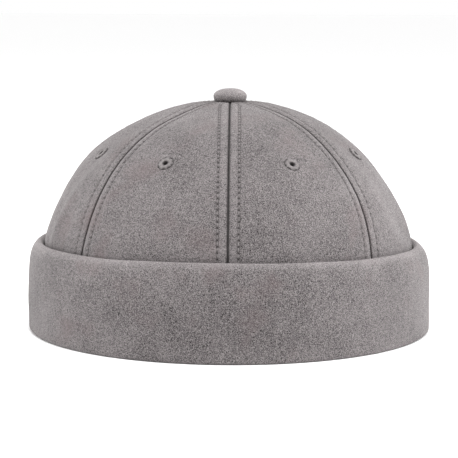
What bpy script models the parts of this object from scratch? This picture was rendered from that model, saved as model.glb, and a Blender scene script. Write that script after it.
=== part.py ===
"""A docker beanie: a brimless cap of soft napped cloth, standing on its turned-up cuff.

Eight sewn panels meet at a covered button. Each panel has one sewn eyelet. The cuff is one
band that folds up round the crown's foot and ends in a rolled lip. Units are metres, +Z is
up, the front faces -Y and the origin is on the surface that the cuff rests on.
"""

import math

import bmesh
import bpy
from mathutils import Matrix, Vector

# Head oval and crown. Widths and depths are half sizes of the crown's outer face at its foot.
CROWN_HALF_WIDTH = 0.0885
CROWN_HALF_DEPTH = 0.0991
CROWN_FOOT_HEIGHT = 0.0141
CROWN_TOP_HEIGHT = 0.1082
CROWN_SIDE_POWER = 2.51
CROWN_TOP_POWER = 1.93
CROWN_LEFT_BULGE = 0.0015
CLOTH = 0.0016

# Panel seams. The puff and the dips fade in over FOOT_FADE radians of climb.
SEAM_DIP = 0.0007
SEAM_ROLL = 0.0032
PANEL_PUFF = 0.0006
FOOT_FADE = 0.39
APEX_CLEARANCE = 0.0007
GAP = 0.0003

# Turned-up cuff.
CUFF_HEIGHT = 0.0424
CUFF_REACH = 0.0073
CUFF_WALL = 0.0038
CUFF_FOLD_FLOOR = 0.0027
CUFF_WIDEST_HEIGHT = 0.0150
CUFF_OUTER_CORNER = 0.0016
CUFF_INNER_CORNER = 0.0018
LIP_NOSE = 0.0017
LIP_GAP = 0.0012
LIP_LEAN = 0.0005
LIP_SIDE_DROP = 0.0020
LIP_RISE_POWER = 2.6
LIP_ROUND_POWER = 1.1

# Sewn eyelets.
EYELET_HEIGHT_SHARE = 0.732
EYELET_RADIUS = 0.0040
EYELET_BUSH_RADIUS = 0.0019
EYELET_BORE_RADIUS = 0.0010
EYELET_RAISE = 0.0010
EYELET_BACK_RADIUS = 0.0033
EYELET_BACK_DEPTH = 0.0007

# Covered button and the plain post that holds it.
BUTTON_RADIUS = 0.0080
BUTTON_HEIGHT = 0.0056
BUTTON_FOOT_RADIUS = 0.0066
BUTTON_BORE_DEPTH = 0.0032
POST_RADIUS = 0.0015
POST_HEAD_RADIUS = 0.0050
POST_HEAD_DEPTH = 0.0010

# Mesh fineness.
PANEL_COLUMNS = 8
PANEL_ROWS = 14
FACET_SAG = 0.00025
CUFF_COLUMNS = 56
EYELET_SIDES = 14
BUTTON_SIDES = 20
WELD = 0.000002

# One row for each panel. Turns are degrees from the front, growing towards +X, and left and
# right are as someone facing the front sees them.
PANELS = (
    # name, first seam's turn, last seam's turn, eyelet's turn
    ("panel_front_right", 0.0, 49.0, 25.6),
    ("panel_side_right", 49.0, 90.0, 70.3),
    ("panel_side_back_right", 90.0, 131.0, 109.7),
    ("panel_back_right", 131.0, 180.0, 153.5),
    ("panel_back_left", 180.0, 229.0, 206.5),
    ("panel_side_back_left", 229.0, 270.0, 250.3),
    ("panel_side_left", 270.0, 311.0, 289.7),
    ("panel_front_left", 311.0, 360.0, 334.1),
)

# Soft creases in the crown cloth. Turns are in degrees, heights are shares of the crown's
# rise, and depth and width are shares of the cloth's thickness and of the crown's half width.
CREASES = (
    # start turn, start height, end turn, end height, depth, width
    (297.0, 0.86, 281.0, 0.34, 0.55, 0.055),
    (306.0, 0.42, 322.0, 0.30, 0.35, 0.050),
    (62.0, 0.46, 79.0, 0.31, 0.50, 0.050),
    (84.0, 0.70, 74.0, 0.50, 0.35, 0.050),
)

CLOTH_COLOUR = (0.27, 0.245, 0.245)
THREAD_COLOUR = (0.22, 0.20, 0.20)
POST_COLOUR = (0.18, 0.17, 0.17)


def clear_scene():
    for obj in list(bpy.data.objects):
        bpy.data.objects.remove(obj, do_unlink=True)


def new_collection(name):
    collection = bpy.data.collections.new(name)
    bpy.context.scene.collection.children.link(collection)
    return collection


def new_material(name, colour, roughness, metallic=0.0):
    material = bpy.data.materials.new(name)
    material.use_nodes = True
    shader = material.node_tree.nodes["Principled BSDF"]
    shader.inputs["Base Color"].default_value = (*colour, 1.0)
    shader.inputs["Roughness"].default_value = roughness
    shader.inputs["Metallic"].default_value = metallic
    return material


def add_object(name, mesh, collection, material=None):
    obj = bpy.data.objects.new(name, mesh)
    collection.objects.link(obj)
    if material:
        mesh.materials.append(material)
    return obj


def mapped_grid(name, columns, rows, place):
    """A grid of quads whose corner at shares (u, v) is put at place(u, v) and welded."""
    body = bmesh.new()
    bmesh.ops.create_grid(body, x_segments=columns, y_segments=rows, size=0.5)
    for vert in body.verts:
        vert.co = place(vert.co.x + 0.5, vert.co.y + 0.5)
    bmesh.ops.remove_doubles(body, verts=body.verts, dist=WELD)
    mesh = bpy.data.meshes.new(name)
    body.to_mesh(mesh)
    body.free()
    mesh.shade_smooth()
    return mesh


def outline_mesh(name, points):
    """An open chain of edges through (radius, height) points, ready to be turned."""
    body = bmesh.new()
    verts = [body.verts.new((radius, 0.0, height)) for radius, height in points]
    for first, second in zip(verts, verts[1:]):
        body.edges.new((first, second))
    mesh = bpy.data.meshes.new(name)
    body.to_mesh(mesh)
    body.free()
    return mesh


def turn_profile(obj, sides):
    screw = obj.modifiers.new("Turn", "SCREW")
    screw.axis = "Z"
    screw.steps = sides
    screw.render_steps = sides
    screw.use_merge_vertices = True
    screw.merge_threshold = WELD
    screw.use_smooth_shade = True


def oval_point(turn, out, height, scale=1.0):
    """A point `out` beyond the crown's foot oval, scaled, at a turn in radians."""
    width = CROWN_HALF_WIDTH * scale
    depth = CROWN_HALF_DEPTH * scale
    normal = Vector((depth * math.sin(turn), -width * math.cos(turn), 0.0))
    point = Vector((width * math.sin(turn), -depth * math.cos(turn), height))
    return point + normal.normalized() * out


def crown_base(turn, climb):
    """The smooth dome: climb runs in radians from 0 at the foot to a quarter turn at the top."""
    rise = math.sin(climb) ** (2.0 / CROWN_SIDE_POWER)
    scale = max(math.cos(climb), 0.0) ** (2.0 / CROWN_TOP_POWER)
    height = CROWN_FOOT_HEIGHT + rise * (CROWN_TOP_HEIGHT - CROWN_FOOT_HEIGHT)
    point = oval_point(turn, 0.0, height, scale)
    above_lip = max(height - CUFF_HEIGHT, 0.0) / (CROWN_TOP_HEIGHT - CUFF_HEIGHT)
    point.x -= CROWN_LEFT_BULGE * math.sin(math.pi * above_lip) ** 2
    return point, rise, scale


def climb_at_rise(rise):
    return math.asin(rise ** (CROWN_SIDE_POWER / 2.0))


def climb_at_scale(scale):
    return math.acos(scale ** (CROWN_TOP_POWER / 2.0))


def crown_normal(turn, climb):
    step = 0.001
    across = crown_base(turn + step, climb)[0] - crown_base(turn - step, climb)[0]
    up = crown_base(turn, climb + step)[0] - crown_base(turn, max(climb - step, 0.0))[0]
    return across.cross(up).normalized()


def crease_depth(turn, rise, scale):
    """How far the creases push the cloth inwards at a turn in degrees and a share of the rise."""
    total = 0.0
    for turn_a, rise_a, turn_b, rise_b, depth, width in CREASES:
        metres_per_degree = math.radians(1.0) * CROWN_HALF_WIDTH * max(scale, 0.3)
        metres_per_rise = CROWN_TOP_HEIGHT - CROWN_FOOT_HEIGHT
        start = Vector((turn_a * metres_per_degree, rise_a * metres_per_rise))
        end = Vector((turn_b * metres_per_degree, rise_b * metres_per_rise))
        here = Vector((turn % 360.0 * metres_per_degree, rise * metres_per_rise))
        along = (here - start).dot(end - start) / (end - start).length_squared
        nearest = start.lerp(end, min(max(along, 0.0), 1.0))
        share = (here - nearest).length / (width * CROWN_HALF_WIDTH)
        total += depth * CLOTH * math.exp(-share * share)
    return total


def panel_point(turn, climb, seam_distance, half_width):
    """The panel's outer face, puffed between its seams, rolled in at them and creased."""
    base, rise, scale = crown_base(turn, climb)
    fade = half_width / (half_width + 2.0 * SEAM_ROLL)
    roll = math.exp(-((seam_distance / SEAM_ROLL) ** 2))
    puff = math.sin(0.5 * math.pi * min(seam_distance / half_width, 1.0))
    lift = fade * (PANEL_PUFF * puff - SEAM_DIP * roll)
    lift -= crease_depth(math.degrees(turn), rise, scale) * puff
    fade_in = math.sin(0.5 * math.pi * min(climb / FOOT_FADE, 1.0))
    return base + crown_normal(turn, climb) * lift * fade_in


def panel_mesh(name, first_turn, last_turn):
    """An open sheet between two seams, with closer columns where its edges roll in."""
    last_climb = climb_at_scale((POST_RADIUS + APEX_CLEARANCE) / CROWN_HALF_WIDTH)
    middle_turn = 0.5 * (first_turn + last_turn)

    def place(u, v):
        climb = v * last_climb
        edge = crown_base(first_turn, climb)[0]
        other = crown_base(last_turn, climb)[0]
        half_width = 0.5 * (edge - other).length
        side = 2.0 * u - 1.0
        spread = math.copysign(1.0 - (1.0 - abs(side)) ** 2, side)
        seam_distance = (1.0 - abs(spread)) * half_width
        inset = 1.0 - 0.5 * GAP / half_width
        turn = middle_turn + spread * inset * 0.5 * (last_turn - first_turn)
        return panel_point(turn, climb, seam_distance, half_width)

    return mapped_grid(name, PANEL_COLUMNS, PANEL_ROWS, place)


def eyelet_matrix(eyelet_turn):
    """Stands on the panel's outer face with its Z outwards."""
    climb = climb_at_rise(EYELET_HEIGHT_SHARE)
    far = CROWN_HALF_WIDTH
    point = panel_point(eyelet_turn, climb, far, far)
    normal = crown_normal(eyelet_turn, climb)
    turned = normal.to_track_quat("Z", "Y").to_matrix().to_4x4()
    return Matrix.Translation(point) @ turned


def build_panel(row, parts, cutters, material):
    name, first, last, eyelet = row
    mesh = panel_mesh(name, math.radians(first), math.radians(last))
    panel = add_object(name, mesh, parts, material)
    shell = panel.modifiers.new("Cloth", "SOLIDIFY")
    shell.thickness = CLOTH
    shell.offset = -1.0
    hole = build_hole_cutter(name + "_hole", math.radians(eyelet), cutters)
    cut = panel.modifiers.new("Eyelet hole", "BOOLEAN")
    cut.operation = "DIFFERENCE"
    cut.object = hole
    return panel


def build_hole_cutter(name, eyelet_turn, cutters):
    body = bmesh.new()
    radius = (EYELET_BUSH_RADIUS + GAP) / math.cos(math.pi / EYELET_SIDES)
    bmesh.ops.create_cone(
        body, cap_ends=True, segments=EYELET_SIDES, radius1=radius, radius2=radius, depth=8 * CLOTH
    )
    mesh = bpy.data.meshes.new(name)
    body.to_mesh(mesh)
    body.free()
    cutter = add_object(name, mesh, cutters)
    cutter.matrix_world = eyelet_matrix(eyelet_turn)
    cutter.hide_render = True
    cutter.display_type = "WIRE"
    return cutter


def eyelet_outline():
    """A ring that clasps the hole's edge: raised ring outside, bush through, flange inside."""
    seat = GAP
    back = -CLOTH - GAP - FACET_SAG
    crest = 0.55 * EYELET_RADIUS + 0.45 * EYELET_BORE_RADIUS
    return (
        (EYELET_BORE_RADIUS, seat + 0.5 * EYELET_RAISE),
        (crest - 0.25 * EYELET_RADIUS, seat + EYELET_RAISE),
        (crest + 0.18 * EYELET_RADIUS, seat + EYELET_RAISE),
        (EYELET_RADIUS, seat + 0.4 * EYELET_RAISE),
        (EYELET_RADIUS - 0.2 * EYELET_RAISE, seat),
        (EYELET_BUSH_RADIUS, seat),
        (EYELET_BUSH_RADIUS, back),
        (EYELET_BACK_RADIUS, back),
        (EYELET_BACK_RADIUS - 0.5 * EYELET_BACK_DEPTH, back - EYELET_BACK_DEPTH),
        (EYELET_BORE_RADIUS, back - EYELET_BACK_DEPTH),
        (EYELET_BORE_RADIUS, seat + 0.5 * EYELET_RAISE),
    )


def build_eyelet(row, parts, material):
    panel_name, _, _, eyelet = row
    name = panel_name.replace("panel", "eyelet")
    ring = add_object(name, outline_mesh(name, eyelet_outline()), parts, material)
    turn_profile(ring, EYELET_SIDES)
    ring.matrix_world = eyelet_matrix(math.radians(eyelet))
    return ring


def arc(centre, radius, start, end, steps):
    """Points on an arc, angles in degrees, without its last point."""
    points = []
    for step in range(steps):
        angle = math.radians(start + (end - start) * step / steps)
        points.append((centre[0] + radius * math.cos(angle), centre[1] + radius * math.sin(angle)))
    return points


def leaning_face(low_out, high_out, high_height, steps):
    """From the widest height up to the lip, leaning in more and more."""
    points = []
    for step in range(steps):
        angle = 0.5 * math.pi * step / steps
        rise = math.sin(angle) ** (2.0 / LIP_RISE_POWER)
        reach = math.cos(angle) ** LIP_ROUND_POWER
        height = CUFF_WIDEST_HEIGHT + rise * (high_height - CUFF_WIDEST_HEIGHT)
        points.append((high_out + reach * (low_out - high_out), height))
    return points


def lip_crown_out():
    """How far the crown has drawn in from its foot oval at the lip's nose."""
    rise = (CUFF_HEIGHT - LIP_NOSE - CROWN_FOOT_HEIGHT) / (CROWN_TOP_HEIGHT - CROWN_FOOT_HEIGHT)
    scale = crown_base(0.0, climb_at_rise(rise))[2]
    return (scale - 1.0) * CROWN_HALF_WIDTH


def cuff_section():
    """The fold's closed outline as (out from the foot oval, height), starting inside."""
    nose_out = lip_crown_out() + LIP_GAP + LIP_NOSE
    inner_face = CUFF_REACH - CUFF_WALL
    trough = 0.5 * inner_face
    outer = leaning_face(CUFF_REACH, nose_out, CUFF_HEIGHT, 7)
    inner = leaning_face(inner_face, nose_out, CUFF_HEIGHT - 2.0 * LIP_NOSE, 5)
    inner.append((nose_out, CUFF_HEIGHT - 2.0 * LIP_NOSE))
    leg_top = CROWN_FOOT_HEIGHT - GAP
    corner_in = (CUFF_INNER_CORNER - CLOTH, CUFF_INNER_CORNER)
    corner_out = (CUFF_REACH - CUFF_OUTER_CORNER, CUFF_OUTER_CORNER)
    points = [(-CLOTH, leg_top)]
    points += arc(corner_in, CUFF_INNER_CORNER, 180.0, 270.0, 3)
    points.append((corner_in[0], 0.0))
    points += arc(corner_out, CUFF_OUTER_CORNER, 270.0, 360.0, 4)
    points.append((CUFF_REACH, CUFF_OUTER_CORNER))
    points += outer
    points += arc((nose_out, CUFF_HEIGHT - LIP_NOSE), LIP_NOSE, 90.0, 270.0, 5)
    points += reversed(inner)
    points += arc((trough, CUFF_FOLD_FLOOR + trough), trough, 0.0, -180.0, 4)
    points.append((0.0, CUFF_FOLD_FLOOR + trough))
    points.append((0.0, leg_top))
    return points


def cuff_mesh(name):
    section = cuff_section()
    section.append(section[0])

    def place(u, v):
        turn = 2.0 * math.pi * u
        out, height = section[round(v * (len(section) - 1))]
        above = max(height - CUFF_WIDEST_HEIGHT, 0.0) / (CUFF_HEIGHT - CUFF_WIDEST_HEIGHT)
        lean = -LIP_LEAN * math.sin(turn) - LIP_SIDE_DROP * math.sin(turn) ** 2
        return oval_point(turn, out, height + lean * above)

    return mapped_grid(name, CUFF_COLUMNS, len(section) - 1, place)


def face_outwards(mesh):
    body = bmesh.new()
    body.from_mesh(mesh)
    bmesh.ops.recalc_face_normals(body, faces=body.faces)
    body.to_mesh(mesh)
    body.free()


def build_cuff(parts, material):
    mesh = cuff_mesh("cuff")
    face_outwards(mesh)
    return add_object("cuff", mesh, parts, material)


def button_outline():
    """A domed cap with a rounded rim, a flat foot and a blind bore for the post."""
    foot = CROWN_TOP_HEIGHT + GAP
    rim = foot + 0.42 * BUTTON_HEIGHT
    top = CROWN_TOP_HEIGHT + BUTTON_HEIGHT
    bore = POST_RADIUS + GAP
    bore_top = foot + BUTTON_BORE_DEPTH
    points = [(0.0, top)]
    for angle in (20.0, 38.0, 55.0, 72.0, 90.0):
        reach = math.sin(math.radians(angle)) ** 0.8
        drop = (1.0 - math.cos(math.radians(angle))) ** 1.2
        points.append((BUTTON_RADIUS * reach, top - drop * (top - rim)))
    points.append((BUTTON_RADIUS - 0.15 * (BUTTON_RADIUS - BUTTON_FOOT_RADIUS), 0.5 * (rim + foot)))
    points.append((BUTTON_FOOT_RADIUS, foot))
    points.append((bore, foot))
    points.append((bore, bore_top))
    points.append((0.0, bore_top))
    return points


def post_outline():
    """A stem from inside the button down through the crown to a flat head under the cloth."""
    button_bore_top = CROWN_TOP_HEIGHT + GAP + BUTTON_BORE_DEPTH
    head_climb = climb_at_scale(POST_HEAD_RADIUS / CROWN_HALF_WIDTH)
    head_top = crown_base(0.0, head_climb)[0].z - CLOTH - SEAM_DIP - GAP
    return (
        (0.0, button_bore_top - GAP),
        (POST_RADIUS, button_bore_top - GAP),
        (POST_RADIUS, head_top),
        (POST_HEAD_RADIUS, head_top),
        (POST_HEAD_RADIUS, head_top - POST_HEAD_DEPTH),
        (0.0, head_top - POST_HEAD_DEPTH),
    )


def build_turned(name, outline, parts, material):
    obj = add_object(name, outline_mesh(name, outline), parts, material)
    turn_profile(obj, BUTTON_SIDES)
    return obj


def main():
    clear_scene()
    parts = new_collection("docker_beanie")
    cutters = new_collection("cutters")
    cloth = new_material("napped_cloth", CLOTH_COLOUR, 0.95)
    thread = new_material("thread", THREAD_COLOUR, 0.8)
    plain = new_material("post", POST_COLOUR, 0.6)
    build_cuff(parts, cloth)
    for row in PANELS:
        build_panel(row, parts, cutters, cloth)
        build_eyelet(row, parts, thread)
    build_turned("top_button", button_outline(), parts, cloth)
    build_turned("button_post", post_outline(), parts, plain)


main()
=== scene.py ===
"""The looks of a docker beanie: napped cloth panels, topstitching, sewn eyelets and a padded cuff.

Every piece is made in the row's frame, in metres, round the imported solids. Turns run in radians
from the front (-Y) towards +X, and climbs from 0 at the crown's foot to a quarter turn on top.
"""

import math

import bpy
import numpy as np
from mathutils import Matrix, Vector


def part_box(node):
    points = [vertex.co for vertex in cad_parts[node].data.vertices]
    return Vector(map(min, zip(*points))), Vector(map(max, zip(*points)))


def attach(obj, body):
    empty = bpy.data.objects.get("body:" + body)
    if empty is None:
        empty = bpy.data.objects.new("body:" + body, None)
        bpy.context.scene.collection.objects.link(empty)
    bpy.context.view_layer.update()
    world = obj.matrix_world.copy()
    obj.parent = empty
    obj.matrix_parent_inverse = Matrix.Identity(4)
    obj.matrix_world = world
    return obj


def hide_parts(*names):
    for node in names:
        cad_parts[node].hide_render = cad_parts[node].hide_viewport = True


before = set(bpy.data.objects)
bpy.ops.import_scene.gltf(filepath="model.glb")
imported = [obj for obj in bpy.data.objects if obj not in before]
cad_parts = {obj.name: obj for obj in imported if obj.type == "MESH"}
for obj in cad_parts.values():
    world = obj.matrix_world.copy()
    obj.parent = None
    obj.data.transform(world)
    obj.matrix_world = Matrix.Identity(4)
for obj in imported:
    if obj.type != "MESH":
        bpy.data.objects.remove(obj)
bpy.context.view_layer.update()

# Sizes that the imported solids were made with.
GAP = 0.0003
CLOTH = 0.0016
CUFF_REACH = 0.0073
CUFF_WALL = 0.0038
CUFF_FOLD_FLOOR = 0.0027
CUFF_WIDEST_HEIGHT = 0.0150
CUFF_OUTER_CORNER = 0.0016
CUFF_INNER_CORNER = 0.0018
LIP_NOSE = 0.0017
LIP_GAP = 0.0012
LIP_LEAN = 0.0005
LIP_SIDE_DROP = 0.0020
LIP_RISE_POWER = 2.6
LIP_ROUND_POWER = 1.1
CROWN_SIDE_POWER = 2.51
CROWN_TOP_POWER = 1.93
CROWN_LEFT_BULGE = 0.0015
SEAM_DIP = 0.0007
SEAM_ROLL = 0.0032
PANEL_PUFF = 0.0006
FOOT_FADE = 0.39

# Where the soft cloth departs a little from the solids, as the photo shows. Left is -X, and the
# fullness fades out within a share of the height from the lip to the top.
BUTTON_SINK = 0.0011
BUTTON_SINK_RADIUS = 0.0074
BUTTON_SEAT = 0.00135
LEFT_FULLNESS = 0.0015
LEFT_FULLNESS_FADE = 0.26
LIP_RISE = 0.0008
LIP_LEFT_REACH = 0.0012
LIP_SHOULDER = 0.0006
LIP_SHOULDER_POWER = 3.0

# The same sizes read back from the frame.
CUFF_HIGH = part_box("cuff")[1]
HALF_WIDTH = CUFF_HIGH[0] - CUFF_REACH
HALF_DEPTH = CUFF_HIGH[1] - CUFF_REACH
LIP_HEIGHT = CUFF_HIGH[2]
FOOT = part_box("panel_back_left")[0][2]
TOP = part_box("top_button")[0][2] - GAP
BUTTON_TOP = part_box("top_button")[1][2]
BUTTON_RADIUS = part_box("top_button")[1][0]
BUTTON_FOOT = TOP - BUTTON_SEAT

# Sewing details, lengths in metres: the topstitching, the rolled edge and the padded strip beside
# the seam, the stitched channel and its needle holes, and the seam allowance inside.
STITCH_OFFSET = 0.00447
STITCH_PITCH = 0.0028
ROWS_PER_STITCH = 4
NARROW_SHARE = 0.86
APEX_RADIUS = 0.0022
EDGE_ROLL = 0.0008
STRIP_PUFF = 0.00026
STRIP_ROUND_POWER = 0.8
CHANNEL_DEPTH = 0.00022
CHANNEL_WIDTH = 0.00065
HOLE_DEPTH = 0.00055
HOLE_WIDTH = 0.00050
HOLE_BY_ROWS_AWAY = (1.0, 0.30, 0.0)
SIDE_HOLE_SHARE = 0.62
MIDDLE_SEAM_SINE = 0.1
ALLOWANCE = 0.0011
ALLOWANCE_WIDTH = 0.0078
ALLOWANCE_EDGE = 0.0006
SEAM_MEETING = 0.00001

# The gathers along a seam: waves as rate for each row, phase in radians and weight, their height in
# metres, and the fainter gathers outside the stitch line, with their place in stitch offsets.
PUCKER_WAVES = ((0.41, 0.0, 1.0), (0.173, 1.1, 0.7), (0.93, 2.0, 0.5))
PUCKER_HEIGHT = 0.000055
OUTER_PUCKER_ROWS = 3.0
OUTER_PUCKER_PLACE = 1.5
OUTER_PUCKER_WIDTH = 0.0022

# How the cloth's colour follows its form, as the vertex attribute "shade": 1 is full painted shadow
# and below 0 is a painted highlight on the nap.
SEAM_LINE_WIDTH = 0.00044
CHANNEL_SHADE = 0.06
CHANNEL_SHADE_WIDTH = 0.0006
HOLE_SHADE = 0.94
SEAM_BACK_SHADE = 0.9
STRIP_PAINTED_HIGHLIGHT = 0.12
STRIP_HIGHLIGHT_SHADE_LIMIT = 0.05
LIP_PAINTED_HIGHLIGHT = 0.42
LIP_HIGHLIGHT_WIDTH = 0.0022
BUTTON_PAINTED_HIGHLIGHT = 0.50
BUTTON_FOOT_SHADE = 1.25
BUTTON_FOOT_SHADE_HEIGHT = 0.0024
CUFF_SEAM_SHADE = 0.85

# Columns from a seam to just past its topstitch, as shares of the topstitch's offset.
STRIP_COLUMNS = (0.0, 0.012, 0.035, 0.075, 0.13, 0.21, 0.33, 0.50, 0.68, 0.82, 0.91, 1.0, 1.09, 1.19, 1.34)
MIDDLE_COLUMNS = 12

# One row for each panel: node, first seam's turn, last seam's turn, eyelet's turn, all in degrees,
# and the eyelet's height as a share of the crown's rise.
PANELS = (
    ("panel_front_right", -0.5, 49.0, 25.6, 0.732),
    ("panel_side_right", 49.0, 90.0, 70.0, 0.748),
    ("panel_side_back_right", 90.0, 131.0, 109.7, 0.735),
    ("panel_back_right", 131.0, 180.0, 153.5, 0.732),
    ("panel_back_left", 180.0, 229.0, 206.5, 0.732),
    ("panel_side_back_left", 229.0, 270.0, 250.3, 0.735),
    ("panel_side_left", 270.0, 310.4, 290.4, 0.750),
    ("panel_front_left", 310.4, 359.5, 334.1, 0.732),
)

# Seams that aren't quite in a plane, by their turn in degrees: the bow in degrees, the swing back
# at the foot in degrees, and the climb within which that swing fades.
SEAM_BOWS = {49.0: (1.9, 2.6, 0.35), 310.4: (-0.3, 0.0, 1.0)}

# Soft creases: start turn, start height, end turn, end height, depth, width. Turns are degrees,
# heights are shares of the crown's rise, and depth and width are metres. A negative depth is a ridge.
CREASES = (
    (298.0, 0.84, 283.0, 0.40, 0.00055, 0.0060),
    (300.0, 0.80, 292.0, 0.36, -0.00040, 0.0048),
    (287.0, 0.44, 286.0, 0.31, 0.00070, 0.0038),
    (294.0, 0.44, 293.0, 0.31, -0.00055, 0.0036),
    (306.0, 0.42, 322.0, 0.30, 0.00040, 0.0050),
    (326.0, 0.62, 338.0, 0.36, 0.00025, 0.0070),
    (62.0, 0.46, 79.0, 0.31, 0.00065, 0.0045),
    (62.0, 0.80, 72.0, 0.40, 0.00050, 0.0055),
    (57.0, 0.78, 63.0, 0.40, -0.00035, 0.0048),
    (84.0, 0.70, 74.0, 0.50, 0.00040, 0.0045),
    (38.0, 0.50, 27.0, 0.34, 0.00025, 0.0070),
    (118.0, 0.60, 104.0, 0.34, 0.00055, 0.0045),
    (245.0, 0.66, 252.0, 0.36, 0.00055, 0.0045),
    (165.0, 0.58, 149.0, 0.33, 0.00040, 0.0050),
)

# Each crease's cloth rises again beside it: the bank's share of the depth and its place in widths.
CREASE_BANK = 0.45
CREASE_BANK_PLACE = 1.9
CREASE_LEAST_REACH = 0.3

# Slow swells of the cloth: waves per metre along X, Y and Z, phase in radians, height in metres.
SWELLS = (
    (11.0, 5.0, 9.0, 0.4, 0.00022),
    (-7.0, 13.0, 15.0, 2.1, 0.00018),
    (17.0, -9.0, 21.0, 4.0, 0.00012),
    (29.0, 23.0, -13.0, 1.2, 0.00008),
)
SWELL_FULL_HALF_WIDTH = 0.02


def bell(distance, width):
    """1 at no distance, falling smoothly to nearly 0 beyond two widths."""
    return np.exp(-((distance / width) ** 2))


def round_angles(count):
    """Angles evenly spread over a whole turn."""
    return np.linspace(0.0, 2.0 * np.pi, count, endpoint=False)


def ripple(waves, along):
    """A sum of sines from rows of rate, phase in radians and height."""
    return sum(height * np.sin(rate * along + phase) for rate, phase, height in waves)


def unit(vectors):
    return vectors / np.linalg.norm(vectors, axis=-1, keepdims=True)


def leftness(turn):
    """1 at the hat's left side, falling to 0 in front and behind."""
    return np.clip(-np.sin(turn), 0.0, None) ** 2


def swell(points):
    """The slow unevenness of the cloth at each point."""
    total = np.zeros(points.shape[:-1])
    for x_rate, y_rate, z_rate, phase, height in SWELLS:
        angle = 2.0 * np.pi * (points @ np.array((x_rate, y_rate, z_rate))) + phase
        total += height * np.sin(angle)
    return total


def crown_shares(climb):
    """The crown's rise, and its reach from the axis, at a climb, as shares of the whole."""
    rise = np.sin(climb) ** (2.0 / CROWN_SIDE_POWER)
    reach = np.clip(np.cos(climb), 0.0, None) ** (2.0 / CROWN_TOP_POWER)
    return rise, reach


def dome(turn, climb):
    """The crown's smooth outer face."""
    rise, reach = crown_shares(climb)
    height = FOOT + rise * (TOP - FOOT)
    above_lip = np.clip(height - LIP_HEIGHT, 0.0, None) / (TOP - LIP_HEIGHT)
    up_to_lip = np.clip((height - FOOT) / (LIP_HEIGHT - FOOT), 0.0, 1.0)
    bulge = CROWN_LEFT_BULGE * (np.sin(np.pi * above_lip) * np.sin(turn)) ** 2
    fullness = bell(above_lip, LEFT_FULLNESS_FADE) * up_to_lip**3
    bulge = bulge + LEFT_FULLNESS * fullness * leftness(turn)
    sink = BUTTON_SINK * bell(reach * HALF_WIDTH, BUTTON_SINK_RADIUS)
    x = HALF_WIDTH * reach * np.sin(turn) - bulge
    y = -HALF_DEPTH * reach * np.cos(turn)
    return np.stack(np.broadcast_arrays(x, y, height - sink), axis=-1)


def dome_normal(turn, climb):
    step = 0.001
    across = dome(turn + step, climb) - dome(turn - step, climb)
    up = dome(turn, climb + step) - dome(turn, np.maximum(climb - step, 0.0))
    return unit(np.cross(across, up))


def climb_at_rise(rise):
    return math.asin(rise ** (CROWN_SIDE_POWER / 2.0))


def climb_at_radius(radius):
    return math.acos((radius / HALF_WIDTH) ** (CROWN_TOP_POWER / 2.0))


def stitch_rows():
    """Climbs of the panels' rows, evenly spaced along a meridian, a few to each stitch."""
    climbs = np.linspace(0.0, climb_at_radius(APEX_RADIUS), 3000)
    points = dome(np.full_like(climbs, math.radians(45.0)), climbs)
    steps = np.linalg.norm(np.diff(points, axis=0), axis=-1)
    length = np.concatenate(([0.0], np.cumsum(steps)))
    stitches = round(length[-1] / STITCH_PITCH)
    even = np.linspace(0.0, length[-1], stitches * ROWS_PER_STITCH + 1)
    return np.interp(even, length, climbs)


ROW_CLIMBS = stitch_rows()


def crease_depth(turn, climb):
    """How far the creases push the cloth in."""
    rise, reach = crown_shares(climb)
    reach = HALF_WIDTH * np.maximum(reach, CREASE_LEAST_REACH)
    degrees = np.degrees(turn) % 360.0
    total = np.zeros(np.broadcast(turn, climb).shape)
    for turn_a, rise_a, turn_b, rise_b, depth, width in CREASES:
        along_x = np.radians(turn_b - turn_a) * reach
        along_y = (rise_b - rise_a) * (TOP - FOOT)
        here_x = np.radians(degrees - turn_a) * reach
        here_y = (rise - rise_a) * (TOP - FOOT)
        share = (here_x * along_x + here_y * along_y) / (along_x**2 + along_y**2)
        share = np.clip(share, 0.0, 1.0)
        widths = np.hypot(here_x - share * along_x, here_y - share * along_y) / width
        total += depth * (bell(widths, 1.0) - CREASE_BANK * bell(widths - CREASE_BANK_PLACE, 1.0))
    return total


def seam_turn(degrees, climb):
    """A seam's turn in radians at a climb, with its bow if it has one."""
    bow, swing_back, fade = SEAM_BOWS.get(degrees, (0.0, 0.0, 1.0))
    swing = bow * np.sin(2.0 * climb) - swing_back * bell(climb, fade)
    return np.radians(degrees + swing)


def broad_lift(turn, climb, distance, half_width):
    """The panel's puff, its broad dip at the seams, its creases and swells."""
    fade = half_width / (half_width + 2.0 * SEAM_ROLL)
    puff = np.sin(0.5 * np.pi * np.minimum(distance / half_width, 1.0))
    lift = fade * (PANEL_PUFF * puff - SEAM_DIP * bell(distance, SEAM_ROLL))
    lift = lift - crease_depth(turn, climb) * puff
    lift = lift + swell(dome(turn, climb)) * np.minimum(half_width / SWELL_FULL_HALF_WIDTH, 1.0)
    return lift * np.sin(0.5 * np.pi * np.minimum(climb / FOOT_FADE, 1.0))


def pucker(row, shrink):
    """Small gathers that the topstitching pulls in along a seam."""
    return PUCKER_HEIGHT * ripple(PUCKER_WAVES, row) * shrink


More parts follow.
